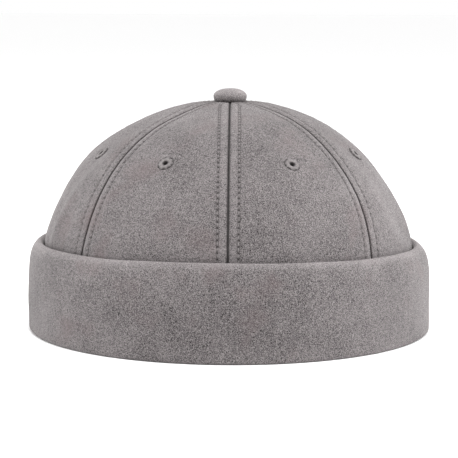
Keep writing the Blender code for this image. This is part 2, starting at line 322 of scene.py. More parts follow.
def seam_relief(distance, shrink, row, boldness):
    """The rolled edge, the padded strip, the stitched channel and its needle holes."""
    offset = STITCH_OFFSET * shrink
    near = np.clip(1.0 - distance / EDGE_ROLL, 0.0, 1.0)
    edge = -EDGE_ROLL * (1.0 - np.sqrt(np.clip(1.0 - near**2, 0.0, 1.0)))
    strip = np.clip(distance / offset, 0.0, 1.0)
    padding = (STRIP_PUFF + pucker(row, shrink)) * np.sin(np.pi * strip) ** STRIP_ROUND_POWER
    from_line = np.abs(distance - offset)
    channel = -CHANNEL_DEPTH * bell(from_line, CHANNEL_WIDTH)
    past_line = distance - OUTER_PUCKER_PLACE * offset
    outer_pucker = pucker(row + OUTER_PUCKER_ROWS, shrink) * bell(past_line, OUTER_PUCKER_WIDTH)
    rows_away = np.minimum(row % ROWS_PER_STITCH, -row % ROWS_PER_STITCH).astype(int)
    hole = np.array(HOLE_BY_ROWS_AWAY)[rows_away] * bell(from_line, HOLE_WIDTH) * boldness
    relief = edge + padding * shrink + (channel - HOLE_DEPTH * hole) * shrink + outer_pucker
    shade = CHANNEL_SHADE * bell(from_line, CHANNEL_SHADE_WIDTH) + HOLE_SHADE * hole
    shade = np.maximum(shade, bell(distance, SEAM_LINE_WIDTH))
    # A painted highlight along the padded strip, only where there is almost no painted shade.
    shade = shade - STRIP_PAINTED_HIGHLIGHT * np.sin(np.pi * strip) * (shade < STRIP_HIGHLIGHT_SHADE_LIMIT)
    return relief, np.clip(shade, -1.0, 1.0)


def hole_share(degrees):
    """How plainly a seam's needle holes show: in full at the front's and the back's middle seam."""
    in_middle = abs(math.sin(math.radians(degrees))) < MIDDLE_SEAM_SINE
    return 1.0 if in_middle else SIDE_HOLE_SHARE


def panel_width(first, last, climb):
    """The turns of a panel's two seams at a climb, and half the panel's width there."""
    low, high = seam_turn(first, climb), seam_turn(last, climb)
    return low, high, 0.5 * np.linalg.norm(dome(low, climb) - dome(high, climb), axis=-1)


def narrowing(half_width):
    """How much a seam's details shrink where the panel gets narrow."""
    return np.minimum(1.0, NARROW_SHARE * half_width / STITCH_OFFSET / STRIP_COLUMNS[-1])


def turn_across(low, high, side):
    """The turn at a place across a panel, from -1 at its first seam to 1 at its last."""
    return 0.5 * (low + high) + side * 0.5 * (high - low)


def panel_surfaces(first, last):
    """Outer points, inner points and shade of a panel, as grids of rows by columns."""
    row = np.arange(len(ROW_CLIMBS), dtype=float)[:, None]
    climb = ROW_CLIMBS[:, None]
    low, high, half_width = panel_width(first, last, climb)
    shrink = narrowing(half_width)
    strip = np.array(STRIP_COLUMNS)[None, :] * STITCH_OFFSET * shrink
    shares = np.linspace(0.0, 1.0, MIDDLE_COLUMNS + 1)[None, 1:]
    middle = strip[:, -1:] + (half_width - strip[:, -1:]) * shares
    left = np.concatenate((strip, middle), axis=1)
    distance = np.concatenate((left, left[:, -2::-1]), axis=1)
    side = np.concatenate((-1.0 + left / half_width, 1.0 - left[:, -2::-1] / half_width), axis=1)
    turn = turn_across(low, high, side * (1.0 - 0.5 * GAP / half_width))
    normal = dome_normal(turn, climb)
    lift = broad_lift(turn, climb, distance, half_width)
    boldness = np.where(side < 0.0, hole_share(first), hole_share(last))
    relief, shade = seam_relief(distance, shrink, row, boldness)
    outer = dome(turn, climb) + normal * (lift + relief)[..., None]
    fold = np.clip((ALLOWANCE_WIDTH * shrink - distance) / ALLOWANCE_EDGE, 0.0, 1.0)
    depth = CLOTH + ALLOWANCE * fold * fold * (3.0 - 2.0 * fold) * shrink
    meeting = turn_across(low, high, side * (1.0 - SEAM_MEETING / half_width))
    inner = dome(meeting, climb) + normal * (lift - depth)[..., None]
    return outer, inner, shade


def grid_faces(rows, columns, start=0, flip=False):
    """Quads of an open grid of points numbered row by row."""
    index = start + np.arange(rows * columns).reshape(rows, columns)
    corners = (index[:-1, :-1], index[:-1, 1:], index[1:, 1:], index[1:, :-1])
    faces = np.stack(corners, axis=-1).reshape(-1, 4)
    return faces[:, ::-1] if flip else faces


def rim_faces(loop, shift):
    """Quads between a closed loop of points and the same loop numbered `shift` later."""
    after = np.roll(loop, -1)
    return np.stack((loop, loop + shift, after + shift, after), axis=-1)


def new_mesh(name, points, faces, shade):
    mesh = bpy.data.meshes.new(name)
    mesh.from_pydata(np.asarray(points).reshape(-1, 3).tolist(), [], [list(face) for face in faces])
    values = mesh.attributes.new("shade", "FLOAT", "POINT")
    values.data.foreach_set("value", np.asarray(shade, dtype=np.float32).ravel())
    mesh.shade_smooth()
    mesh.update()
    return mesh


def new_object(name, mesh, *materials):
    obj = bpy.data.objects.new(name, mesh)
    bpy.context.scene.collection.objects.link(obj)
    for material in materials:
        mesh.materials.append(material)
    return obj


def panel_mesh(name, first, last):
    """A closed cloth panel: outer face, inner face and the rims between them."""
    outer, inner, shade = panel_surfaces(first, last)
    rows, columns = shade.shape
    count = rows * columns
    index = np.arange(count).reshape(rows, columns)
    loop = np.concatenate((index[0, :-1], index[:-1, -1], index[-1, :0:-1], index[:0:-1, 0]))
    outside, inside = grid_faces(rows, columns), grid_faces(rows, columns, count, flip=True)
    faces = np.concatenate((outside, inside, rim_faces(loop, count)))
    points = np.concatenate((outer.reshape(-1, 3), inner.reshape(-1, 3)))
    back_shade = np.zeros((rows, columns))
    back_shade[:, [0, -1]] = SEAM_BACK_SHADE
    mesh = new_mesh(name, points, faces, np.concatenate((shade.ravel(), back_shade.ravel())))
    material = np.zeros(len(faces), dtype=np.int32)
    material[len(outside) : len(outside) + len(inside)] = 1
    mesh.polygons.foreach_set("material_index", material)
    return mesh


def eyelet_matrix(turn, share):
    """Stands on the panel's outer face with its Z outwards."""
    climb = np.array(climb_at_rise(share))
    far = np.array(HALF_WIDTH)
    normal = Vector(dome_normal(turn, climb))
    point = Vector(dome(turn, climb)) + normal * float(broad_lift(np.array(turn), climb, far, far))
    return Matrix.Translation(point) @ normal.to_track_quat("Z", "Y").to_matrix().to_4x4()


def turned_points(outline, sides, bump):
    """A closed outline of (radius, height) turned about Z; bump(angle, outline) pushes it out."""
    angle = round_angles(sides)[:, None]
    more_radius, more_height = bump(angle, outline)
    radius = outline[None, :, 0] + more_radius
    height = outline[None, :, 1] + more_height
    return np.stack((radius * np.cos(angle), radius * np.sin(angle), height), axis=-1)


def ring_faces(turns, outline, closed=True):
    """Quads of points numbered turn by turn, closed round the turn and, if asked, the outline."""
    index = np.arange(turns * outline).reshape(turns, outline)
    after = np.roll(index, -1, axis=0)
    if closed:
        up, after_up = np.roll(index, -1, axis=1), np.roll(after, -1, axis=1)
    else:
        index, up = index[:, :-1], index[:, 1:]
        after, after_up = after[:, :-1], after[:, 1:]
    return np.stack((index, after, after_up, up), axis=-1).reshape(-1, 4)


def cut_hole(obj, matrix):
    """Cuts the eyelet's hole through a panel and keeps the result as the panel's own mesh."""
    bpy.ops.mesh.primitive_cylinder_add(vertices=HOLE_SIDES, radius=EYELET_GROOVE, depth=8.0 * CLOTH)
    cutter = bpy.context.object
    cutter.matrix_world = matrix
    cut = obj.modifiers.new("Eyelet hole", "BOOLEAN")
    cut.operation = "DIFFERENCE"
    cut.solver = "MANIFOLD"
    cut.object = cutter
    bpy.context.view_layer.update()
    depsgraph = bpy.context.evaluated_depsgraph_get()
    mesh = bpy.data.meshes.new_from_object(obj.evaluated_get(depsgraph))
    obj.modifiers.clear()
    obj.data = mesh
    mesh.set_sharp_from_angle(angle=math.radians(SHARP_EDGE_DEGREES))
    bpy.data.objects.remove(cutter, do_unlink=True)


def make_panels(cloth, cloth_back):
    for node, first, last, eyelet, share in PANELS:
        name = "cloth_" + node
        panel = new_object(name, panel_mesh(name, first, last), cloth, cloth_back)
        cut_hole(panel, eyelet_matrix(math.radians(eyelet), share))
        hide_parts(node)
        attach(panel, "root")


# The sewn eyelets: a ring of satin stitch that clasps the hole's edge, lengths in metres.
HOLE_SIDES = 48
SHARP_EDGE_DEGREES = 60.0
EYELET_BORE = 0.00110
EYELET_RING = 0.00335
EYELET_GROOVE = 0.00385
EYELET_CREST = 0.00036
EYELET_CREST_POWER = 0.55
EYELET_THREADS = 36
EYELET_SIDES = 4 * EYELET_THREADS
EYELET_FRONT = -0.0005
THREAD_RIDGE_OUT = 0.00010
THREAD_RIDGE_UP = 0.00012
BRIDGE_REACH = 0.00030

# Shade on an eyelet: the groove, which the stitches bridge in part, the ring's rim, the mouth out to
# a radius in bores, and the dents between the threads, darker near the ring's edge.
GROOVE_DARK_DEPTH = 0.0007
BRIDGE_COVER = 0.8
RIM_SHADE = 0.8
MOUTH_SHADE = 1.2
MOUTH_END = 1.55
MOUTH_FADE = 0.45
HOLLOW_SHADE = 0.75
DENT_SHADE = 0.25
EDGE_DENT_SHADE = 0.60

# The eyelet's outline: places across the ring as shares, then (radius, height) from the ring's edge
# down the groove and the hole's wall to the flange behind the cloth.
RING_SHARES = (0.04, 0.14, 0.28, 0.44, 0.60, 0.76, 0.89, 0.97)
EYELET_UNDERSIDE = (
    (EYELET_RING, -0.00015),
    (EYELET_RING, -0.00060),
    (EYELET_GROOVE - 0.00012, -0.00070),
    (EYELET_GROOVE - 0.00012, -CLOTH - 0.00020),
    (EYELET_GROOVE + 0.00060, -CLOTH - 0.00030),
    (EYELET_GROOVE + 0.00045, -CLOTH - 0.00080),
    (EYELET_BORE + 0.00060, -CLOTH - 0.00095),
    (EYELET_BORE, -CLOTH - 0.00060),
)


def eyelet_profile():
    """Closed outline: flange behind the cloth, hole wall, groove floor, raised ring and bore."""
    points = [(EYELET_BORE, -0.0004)]
    for share in RING_SHARES:
        radius = EYELET_BORE + share * (EYELET_RING - EYELET_BORE)
        points.append((radius, EYELET_CREST * math.sin(math.pi * share) ** EYELET_CREST_POWER))
    points.extend(EYELET_UNDERSIDE)
    return np.array(points[::-1])


def thread_crests(angle):
    """1 along the middle of each radial thread, falling to 0 between two threads."""
    return np.abs(np.cos(0.5 * EYELET_THREADS * angle))


def groove_bridges(angle):
    """Where the stitches reach over the groove round the ring, from 0 to 1."""
    wave = np.sin(9.0 * angle + 1.4 * np.sin(2.0 * angle + 0.5)) + 0.5 * np.sin(4.0 * angle + 1.9)
    return np.clip(0.5 + 0.9 * wave, 0.0, 1.0)


def thread_ridges(angle, outline):
    """Radial satin stitches on the ring and on the flange behind it, as moves out and up."""
    radius, height = outline[None, :, 0], outline[None, :, 1]
    ridge = thread_crests(angle) - 0.5
    uneven = 1.0 + 0.35 * np.sin(3.0 * angle + 0.7) + 0.3 * np.sin(7.0 * angle)
    on_ring = np.clip((height + 0.0001) / 0.0003, 0.0, 1.0)
    on_flange = np.clip((-CLOTH - 0.0005 - height) / 0.0003, 0.0, 1.0)
    at_edge = (np.abs(radius - EYELET_RING) < 0.0002) * (height > EYELET_FRONT)
    outwards = THREAD_RIDGE_OUT * ridge * uneven + BRIDGE_REACH * groove_bridges(angle)
    return outwards * at_edge, THREAD_RIDGE_UP * ridge * uneven * (on_ring - on_flange)


def eyelet_shade(angle, outline):
    """Shadow in the mouth, in the groove round the ring and between the threads."""
    radius, height = outline[None, :, 0], outline[None, :, 1]
    open_groove = 1.0 - BRIDGE_COVER * groove_bridges(angle)
    depth = np.clip(-height / GROOVE_DARK_DEPTH, 0.0, 1.0) * (height > -CLOTH)
    in_groove = depth * np.where(radius > EYELET_BORE + 0.001, open_groove, 1.0)
    in_mouth = MOUTH_SHADE * np.clip((MOUTH_END - radius / EYELET_BORE) / MOUTH_FADE, 0.0, 1.0)
    rim = RIM_SHADE * (np.abs(radius - EYELET_RING) < 0.0003) * (height > EYELET_FRONT)
    dark = np.maximum(np.maximum(in_groove, in_mouth), rim * open_groove)
    near_edge = np.clip((radius / EYELET_RING - 0.80) / 0.2, 0.0, 1.0) * (height > -0.0003)
    dents = (DENT_SHADE + EDGE_DENT_SHADE * near_edge) * (1.0 - thread_crests(angle))
    return np.clip(HOLLOW_SHADE * dark + dents, 0.0, 1.0)


def make_eyelets(thread):
    outline = eyelet_profile()
    points = turned_points(outline, EYELET_SIDES, thread_ridges)
    shade = eyelet_shade(round_angles(EYELET_SIDES)[:, None], outline)
    for node, _, _, eyelet, share in PANELS:
        name = node.replace("panel", "sewn_eyelet")
        mesh = new_mesh(name, points, ring_faces(EYELET_SIDES, len(outline)), shade)
        mesh.transform(eyelet_matrix(math.radians(eyelet), share))
        ring = new_object(name, mesh, thread)
        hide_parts(node.replace("panel", "eyelet"))
        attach(ring, "root")


# The topstitching's thread, and how near the axis its lines end, as a share of the button's radius.
THREAD_RADIUS = 0.00022
THREAD_SIDES = 6
THREAD_FLATNESS = 0.85
STITCH_END = 0.75

# A stitch's path as shares of its pitch and heights over the channel in thread radii, and its shade.
STITCH_PATH = (
    (0.08, -3.2),
    (0.13, -1.2),
    (0.23, 0.5),
    (0.50, 0.9),
    (0.77, 0.5),
    (0.87, -1.2),
    (0.92, -3.2),
)
STITCH_SHADE = (1.0, 0.9, 0.25, 0.0, 0.25, 0.9, 1.0)


def stitch_turn(seams, climb, sign):
    """The turn of a line beside a panel's first seam (sign 1) or its last (sign -1)."""
    low, high, half_width = panel_width(*seams, climb)
    side = 1.0 - STITCH_OFFSET * narrowing(half_width) / half_width
    inset = 1.0 - 0.5 * GAP / half_width
    return turn_across(low, high, -sign * side * inset)


def stitch_height(seams, turn, climb, face):
    """How high over the dome a line runs: in its channel outside (face 1), or inside (face -1)."""
    half_width = panel_width(*seams, climb)[2]
    shrink = narrowing(half_width)
    depth = CHANNEL_DEPTH * shrink if face > 0.0 else CLOTH + ALLOWANCE * shrink
    return broad_lift(turn, climb, STITCH_OFFSET * shrink, half_width) - depth


def stitch_line(seams, sign, face):
    """Points and faces of every stitch along one line of topstitching."""
    points, faces = [], []
    shares, heights = np.array(STITCH_PATH).T
    around = round_angles(THREAD_SIDES)[None, :, None]
    index = np.arange(len(shares) * THREAD_SIDES).reshape(len(shares), THREAD_SIDES)
    last_row = int(np.searchsorted(ROW_CLIMBS, climb_at_radius(STITCH_END * BUTTON_RADIUS)))
    for row in range(0, last_row - ROWS_PER_STITCH, ROWS_PER_STITCH):
        climb = np.interp(row + ROWS_PER_STITCH * shares, np.arange(len(ROW_CLIMBS)), ROW_CLIMBS)
        turn = stitch_turn(seams, climb, sign)
        normal = dome_normal(turn, climb)
        height = stitch_height(seams, turn, climb, face) + face * THREAD_RADIUS * heights
        centre = dome(turn, climb) + normal * height[:, None]
        along = unit(np.gradient(centre, axis=0))
        side = unit(np.cross(along, normal))
        up = np.cross(side, along)
        around_thread = np.cos(around) * side[:, None] + THREAD_FLATNESS * np.sin(around) * up[:, None]
        points.append((centre[:, None] + THREAD_RADIUS * around_thread).reshape(-1, 3))
        after = np.roll(index, -1, axis=1)
        faces += np.stack((index[:-1], after[:-1], after[1:], index[1:]), axis=-1).reshape(-1, 4).tolist()
        faces += [index[0, ::-1].tolist(), index[-1].tolist()]
        index = index + index.size
    return np.concatenate(points), faces


def make_topstitching(thread):
    """Both stitch lines of each seam, outside and inside, as one piece for each seam."""
    for number, panel in enumerate(PANELS):
        points, faces = [], []
        for neighbour, sign in ((panel, 1.0), (PANELS[number - 1], -1.0)):
            for face in (1.0, -1.0):
                line_points, line_faces = stitch_line(neighbour[1:3], sign, face)
                shift = sum(len(part) for part in points)
                points.append(line_points)
                faces += [[corner + shift for corner in corners] for corners in line_faces]
        name = f"topstitch_{number + 1}"
        points = np.concatenate(points)
        shade = np.resize(np.repeat(STITCH_SHADE, THREAD_SIDES), len(points))
        piece = new_object(name, new_mesh(name, points, faces, shade), thread)
        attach(piece, "root")


# The cuff's points: round the turn, closer within a span in radians of the back seam, and round the
# lip's nose.
CUFF_TURNS = 420
BACK_SEAM_TURNS = 60
BACK_SEAM_SPAN = 0.055
LIP_ARC_STEPS = 10

# The back seam's groove and the puff beside it, in metres, and the rise in which both fade in.
BACK_SEAM_DEPTH = 0.0008
BACK_SEAM_WIDTH = 0.00035
BACK_SEAM_PUFF = 0.00030
BACK_SEAM_PUFF_PLACE = 0.0022
BACK_SEAM_PUFF_WIDTH = 0.0017
BACK_SEAM_RISE = 0.004

# The cuff's share of the cloth's swells, how much of it the lip loses, and the heights in metres
# where it starts and in which it fades in.
CUFF_SWELL = 1.25
CUFF_SWELL_LOSS = 0.6
CUFF_SWELL_FLOOR = 0.002
CUFF_SWELL_RISE = 0.01

# The lip's waves: waves round the turn, phase in radians and height in metres, and the share of the
# height by which they pull the lip in.
LIP_WAVES = ((3.0, 0.6, 0.00016), (5.0, 2.2, 0.00012), (9.0, 4.1, 0.00007), (14.0, 1.3, 0.00004))
LIP_WAVE_PULL = 0.5


def arc(centre, radius, start, end, steps):
    """Points on an arc, angles in degrees, without its last point."""
    angles = np.radians(np.linspace(start, end, steps, endpoint=False))
    return [(centre[0] + radius * math.cos(a), centre[1] + radius * math.sin(a)) for a in angles]


def line(start, end, steps):
    """Points on a line, without its last point."""
    shares = np.linspace(0.0, 1.0, steps, endpoint=False)
    return [(start[0] + s * (end[0] - start[0]), start[1] + s * (end[1] - start[1])) for s in shares]


def leaning_face(low_out, high_out, high_height, steps):
    """From the widest height up to the lip, leaning in more and more."""
    points = []
    for step in range(steps):
        angle = 0.5 * math.pi * step / steps
        rise = math.sin(angle) ** (2.0 / LIP_RISE_POWER)
        reach = math.cos(angle) ** LIP_ROUND_POWER
        height = CUFF_WIDEST_HEIGHT + rise * (high_height - CUFF_WIDEST_HEIGHT)
        points.append((high_out + reach * (low_out - high_out), height))
    return points


def cuff_section():
    """The fold's closed outline as (out from the foot oval, height), with finer steps."""
    rise = (LIP_HEIGHT - LIP_NOSE - FOOT) / (TOP - FOOT)
    scale = math.cos(climb_at_rise(rise)) ** (2.0 / CROWN_TOP_POWER)
    nose_out = (scale - 1.0) * HALF_WIDTH + LIP_GAP + LIP_NOSE
    inner_face = CUFF_REACH - CUFF_WALL
    trough = 0.5 * inner_face
    leg_top = FOOT - GAP
    corner_in = (CUFF_INNER_CORNER - CLOTH, CUFF_INNER_CORNER)
    corner_out = (CUFF_REACH - CUFF_OUTER_CORNER, CUFF_OUTER_CORNER)
    inner = leaning_face(inner_face, nose_out, LIP_HEIGHT - 2.0 * LIP_NOSE, 20)
    inner.append((nose_out, LIP_HEIGHT - 2.0 * LIP_NOSE))
    points = line((-CLOTH, leg_top), (-CLOTH, CUFF_INNER_CORNER), 8)
    points += arc(corner_in, CUFF_INNER_CORNER, 180.0, 270.0, 5)
    points += line((corner_in[0], 0.0), (corner_out[0], 0.0), 4)
    points += arc(corner_out, CUFF_OUTER_CORNER, 270.0, 360.0, 7)
    points += line((CUFF_REACH, CUFF_OUTER_CORNER), (CUFF_REACH, CUFF_WIDEST_HEIGHT), 9)
    points += leaning_face(CUFF_REACH, nose_out, LIP_HEIGHT, 26)
    points += arc((nose_out, LIP_HEIGHT - LIP_NOSE), LIP_NOSE, 90.0, 270.0, LIP_ARC_STEPS)
    points += inner[::-1]
    points += line((inner_face, CUFF_WIDEST_HEIGHT), (inner_face, CUFF_FOLD_FLOOR + trough), 5)[1:]
    points += arc((trough, CUFF_FOLD_FLOOR + trough), trough, 0.0, -180.0, 8)
    points += line((0.0, CUFF_FOLD_FLOOR + trough), (0.0, leg_top), 4)
    points.append((0.0, leg_top))
    return np.array(points)


def cuff_turns():
    """The turns of the cuff's points, closer together at the back seam."""
    even = round_angles(CUFF_TURNS)
    fine = np.pi + np.linspace(-BACK_SEAM_SPAN, BACK_SEAM_SPAN, BACK_SEAM_TURNS)
    return np.unique(np.concatenate((even[np.abs(even - np.pi) > BACK_SEAM_SPAN], fine)))


def cuff_points():
    """The cuff's points and shade by turn and outline place, with swells, lip waves and back seam."""
    section = cuff_section()
    turn = cuff_turns()[:, None]
    out, height = section[None, :, 0], section[None, :, 1]
    above = np.clip(height - CUFF_WIDEST_HEIGHT, 0.0, None) / (LIP_HEIGHT - CUFF_WIDEST_HEIGHT)
    off_floor = np.clip((height - CUFF_SWELL_FLOOR) / CUFF_SWELL_RISE, 0.0, 1.0)
    outer_leg = np.maximum(np.clip(out / (0.5 * CUFF_REACH), 0.0, 1.0) * off_floor, above)
    facing = np.where(np.arange(len(section)) < hidden_start(section), 1.0, 0.0)[None, :]
    oval = np.stack((HALF_WIDTH * np.sin(turn), -HALF_DEPTH * np.cos(turn)), axis=-1)
    normal = unit(np.stack((HALF_DEPTH * np.sin(turn), -HALF_WIDTH * np.cos(turn)), axis=-1))
    level = np.broadcast_to(height, (len(turn), len(section)))
    smooth = np.concatenate((oval + normal * out[..., None], level[..., None]), axis=-1)
    waves = ripple(LIP_WAVES, turn)
    from_seam = np.abs(turn - np.pi) * HALF_WIDTH
    groove = bell(from_seam, BACK_SEAM_WIDTH)
    puff = BACK_SEAM_PUFF * bell(from_seam - BACK_SEAM_PUFF_PLACE, BACK_SEAM_PUFF_WIDTH)
    back_seam = (puff - BACK_SEAM_DEPTH * groove) * facing * np.clip(height / BACK_SEAM_RISE, 0.0, 1.0)
    shoulder = np.sin(turn) ** 2 * np.sin(np.pi * above**LIP_SHOULDER_POWER) * facing
    push = CUFF_SWELL * swell(smooth) * outer_leg * (1.0 - CUFF_SWELL_LOSS * above)
    push = push - LIP_WAVE_PULL * np.abs(waves) * above
    push = push + LIP_LEFT_REACH * leftness(turn) * above**3
    push = push + back_seam + LIP_SHOULDER * shoulder
    lean = (LIP_RISE - LIP_LEAN * np.sin(turn) - LIP_SIDE_DROP * np.sin(turn) ** 2 + waves) * above
    across = oval + normal * (out + push)[..., None]
    points = np.concatenate((across, (level + lean)[..., None]), axis=-1)
    # A painted highlight along the lip's top, and painted shade in the back seam's groove.
    lip_highlight = LIP_PAINTED_HIGHLIGHT * facing * bell(LIP_HEIGHT - level, LIP_HIGHLIGHT_WIDTH)
    return points, np.clip(CUFF_SEAM_SHADE * groove * facing, 0.0, 1.0) - lip_highlight


def hidden_start(section):
    """The outline place where the lip has rolled over and its hidden inner face starts."""
    return int(np.argmax(section[:, 1])) + LIP_ARC_STEPS // 2


def make_cuff(cloth):
    points, shade = cuff_points()
    turns, outline = shade.shape
    mesh = new_mesh("padded_cuff", points, ring_faces(turns, outline), shade)
    cuff = new_object("padded_cuff", mesh, cloth)
    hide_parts("cuff")
    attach(cuff, "root")


# The covered button, in shares of its radius, or of its height where the name says so.
BUTTON_PLEATS = 22
BUTTON_SIDES = 6 * BUTTON_PLEATS
BUTTON_WIDEST = 0.985
BUTTON_TUCK = 0.24
BUTTON_RIM_HEIGHT = 0.47
BUTTON_TOP_POWER = 0.92
BUTTON_DROP_POWER = 0.98
PLEAT_HEIGHT = 0.55
PLEAT_START = 0.5
SWING_START = 0.4

# The button's underside, as a share of its radius and metres over its foot, and its relief: the
# pleats' depth in metres, and waves round the turn, phase in radians and height in metres.
BUTTON_UNDERSIDE = ((0.60, 0.00005), (0.26, 0.00060), (0.26, 0.0035))
PLEAT_DEPTH = 0.00028
BUTTON_WAVES = ((2.0, 0.6, 0.00010), (5.0, 0.0, 0.00006))


def button_profile():
    """Outline from the middle of the top, over the rim and in under to the post."""
    rim = BUTTON_FOOT + BUTTON_RIM_HEIGHT * (BUTTON_TOP - BUTTON_FOOT)
    points = []
    for angle in np.radians(np.linspace(4.0, 90.0, 15)):
        reach = math.sin(angle) ** BUTTON_TOP_POWER
        drop = (1.0 - math.cos(angle)) ** BUTTON_DROP_POWER
        points.append((BUTTON_RADIUS * BUTTON_WIDEST * reach, BUTTON_TOP - drop * (BUTTON_TOP - rim)))
    for angle in np.radians(np.linspace(10.0, 80.0, 8)):
        tuck = BUTTON_TUCK * BUTTON_RADIUS * (1.0 - math.cos(angle))
        points.append((BUTTON_RADIUS * BUTTON_WIDEST - tuck, rim - (rim - BUTTON_FOOT) * math.sin(angle)))
    for share, rise in BUTTON_UNDERSIDE:
        points.append((share * BUTTON_RADIUS, BUTTON_FOOT + rise))
    return np.array(points)


def button_gathers(angle, outline):
    """Pleats that gather the cover under the rim, and a soft unevenness, as moves out and up."""
    radius, height = outline[None, :, 0], outline[None, :, 1]
    pleat_top = PLEAT_HEIGHT * (BUTTON_TOP - BUTTON_FOOT)
    low = np.clip(1.0 - (height - BUTTON_FOOT) / pleat_top, 0.0, 1.0)
    under_rim = (radius > PLEAT_START * BUTTON_RADIUS) * low
    pleat = np.abs(np.sin(0.5 * BUTTON_PLEATS * angle + 0.8 * np.sin(3.0 * angle)))
    swing = ripple(BUTTON_WAVES, angle)
    gather = PLEAT_DEPTH * under_rim * (1.0 - pleat) ** 2
    return swing * (radius > SWING_START * BUTTON_RADIUS) - gather, 0.5 * swing


def make_button(cloth):
    outline = button_profile()
    points = turned_points(outline, BUTTON_SIDES, button_gathers)
    faces = ring_faces(BUTTON_SIDES, len(outline), closed=False)[:, ::-1].tolist()
    index = np.arange(BUTTON_SIDES * len(outline)).reshape(BUTTON_SIDES, len(outline))
    faces.append(index[:, 0].tolist())
    faces.append(index[::-1, -1].tolist())
    # A painted shadow at the button's foot and a painted highlight over the whole cover.
    low = np.clip(1.0 - (outline[:, 1] - BUTTON_FOOT) / BUTTON_FOOT_SHADE_HEIGHT, 0.0, 1.0)
    shade = np.broadcast_to(BUTTON_FOOT_SHADE * low - BUTTON_PAINTED_HIGHLIGHT, index.shape)
    mesh = new_mesh("covered_button", points, faces, shade)
    button = new_object("covered_button", mesh, cloth)
    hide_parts("top_button")
    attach(button, "root")


class Nodes:
    """Short calls for building a material's node tree."""

    def __init__(self, name):
        self.material = bpy.data.materials.new(name)
        self.material.use_nodes = True
        self.tree = self.material.node_tree
        self.shader = self.tree.nodes["Principled BSDF"]
        self.place = self.tree.nodes.new("ShaderNodeTexCoord").outputs["Object"]

    def link(self, source, target):
        self.tree.links.new(source, target)

    def feed(self, socket, value):
        """Sets a socket to a number or a colour, or links another node's output to it."""
        if isinstance(value, float):
            socket.default_value = value
        elif isinstance(value, tuple):
            socket.default_value = (*value, 1.0)
        else:
            self.link(value, socket)

    def shading(self, **inputs):
        """Feeds the shader's inputs, named with underscores for spaces."""
        for name, value in inputs.items():
            self.feed(self.shader.inputs[name.replace("_", " ")], value)

    def noise(self, scale, detail, roughness, seed):
        """Noise over the object's own coordinates, with the seed as the fourth."""
        node = self.tree.nodes.new("ShaderNodeTexNoise")
        node.noise_dimensions = "4D"
        for name, value in (("W", seed), ("Scale", scale), ("Detail", detail), ("Roughness", roughness)):
            node.inputs[name].default_value = value
        self.link(self.place, node.inputs["Vector"])
        return node.outputs["Fac"]

    def wave(self, direction, scale, distortion):
        node = self.tree.nodes.new("ShaderNodeTexWave")
        node.bands_direction = direction
        node.inputs["Scale"].default_value = scale
        node.inputs["Distortion"].default_value = distortion
        self.link(self.place, node.inputs["Vector"])
        return node.outputs["Fac"]

    def math(self, operation, first, second, clamp=False):
        node = self.tree.nodes.new("ShaderNodeMath")
        node.operation = operation
        node.use_clamp = clamp
        self.feed(node.inputs[0], first)
        self.feed(node.inputs[1], second)
        return node.outputs[0]

    def spread(self, source, amount):
        """source, which lies round 0.5, as a swing of plus or minus about half of amount."""
        return self.math("MULTIPLY", self.math("SUBTRACT", source, 0.5), amount)

    def tone(self, *swings):
        """0.5 with the swings added, kept between 0 and 1."""
        total = swings[0]
        for swing in swings[1:]:
            total = self.math("ADD", total, swing)
        return self.math("ADD", total, 0.5, clamp=True)

    def mix(self, share, first, second):
        node = self.tree.nodes.new("ShaderNodeMix")
        node.data_type = "RGBA"
        kinds = ("RGBA", "VALUE")
        usable = [socket for socket in node.inputs if socket.enabled and socket.type in kinds]
        for name, value in (("Factor", share), ("A", first), ("B", second)):
            self.feed(next(socket for socket in usable if socket.name == name), value)
        return next(socket for socket in node.outputs if socket.type == "RGBA")

    def remap(self, source, low, high, low_to, high_to):
        node = self.tree.nodes.new("ShaderNodeMapRange")
        self.link(source, node.inputs["Value"])
        for name, value in (("From Min", low), ("From Max", high), ("To Min", low_to), ("To Max", high_to)):
            node.inputs[name].default_value = value
        return node.outputs["Result"]

    def attribute(self, name):
        node = self.tree.nodes.new("ShaderNodeAttribute")
        node.attribute_name = name
        return node.outputs["Fac"]

    def bump(self, height, distance, strength):
        node = self.tree.nodes.new("ShaderNodeBump")
        node.inputs["Strength"].default_value = strength
        node.inputs["Distance"].default_value = distance
        self.link(height, node.inputs["Height"])
        self.link(node.outputs["Normal"], self.shader.inputs["Normal"])


# Colours, as linear red, green and blue.
NAP_LIGHT = (0.268, 0.245, 0.246)
NAP_DARK = (0.004, 0.002, 0.003)
NAP_PINK = (0.136, 0.102, 0.103)
# The painted highlight's colour, darker and lighter with the grain.
PAINTED_HIGHLIGHT_DARK = (0.150, 0.136, 0.137)
PAINTED_HIGHLIGHT_LIGHT = (0.386, 0.354, 0.355)
SHADOW = (0.014, 0.010, 0.010)
BACK_DARK = (0.20, 0.18, 0.18)
BACK_LIGHT = (0.33, 0.30, 0.295)
THREAD_DARK = (0.055, 0.045, 0.045)
THREAD_LIGHT = (0.310, 0.286, 0.285)
POST_DARK = (0.15, 0.14, 0.14)
POST_LIGHT = (0.21, 0.20, 0.20)
FLOOR_COLOUR = (0.98, 0.98, 0.98)


